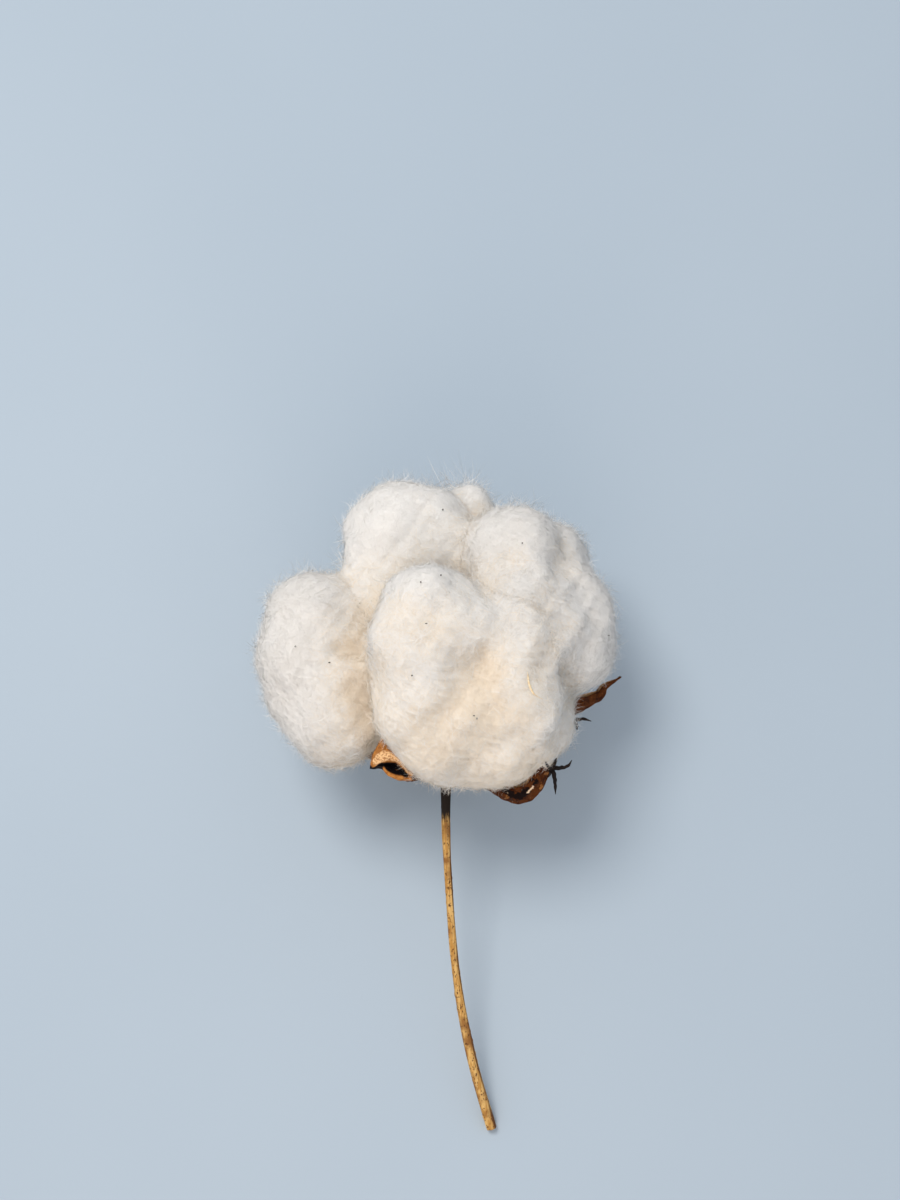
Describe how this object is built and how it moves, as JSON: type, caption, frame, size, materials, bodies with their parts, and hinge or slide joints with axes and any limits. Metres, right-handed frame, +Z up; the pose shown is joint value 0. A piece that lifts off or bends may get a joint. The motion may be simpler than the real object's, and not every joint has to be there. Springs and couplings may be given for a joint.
{
  "type": "picked cotton boll on its cut stalk",
  "caption": "Open cotton boll with fluffy white locks of lint in a dried woody bur, withered bracts and a thin curved cut stalk, lying on its side.",
  "frame": {"origin": "on the surface that the boll lies on, under the middle of its box", "axes": "+Z up, +Y along the boll from the stalk's cut end to the tips of the lint, +X to the boll's right seen from above"},
  "size_m": [0.0786, 0.138, 0.0617],
  "materials": {
    "lint": "loose fluffy cotton fibre, warm white with cream in the creases",
    "bur": "dry woody husk, red-brown outside with dark edges",
    "bract": "withered papery leaf, brown-black",
    "stalk": "dry straw-coloured stem with brown freckles, dark below the boll"
  },
  "bodies": {
    "root": {"stalk": "stalk", "receptacle": "bur", "valve_front_right": "bur", "valve_right": "bur", "valve_back": "bur", "valve_left": "bur", "valve_front_left": "bur", "bract_right": "bract", "bract_right_small": "bract", "bract_back": "bract", "lock_front": "lint", "lock_right": "lint", "lock_back_right": "lint", "lock_back_left": "lint", "lock_left": "lint"}
  },
  "joints": []
}
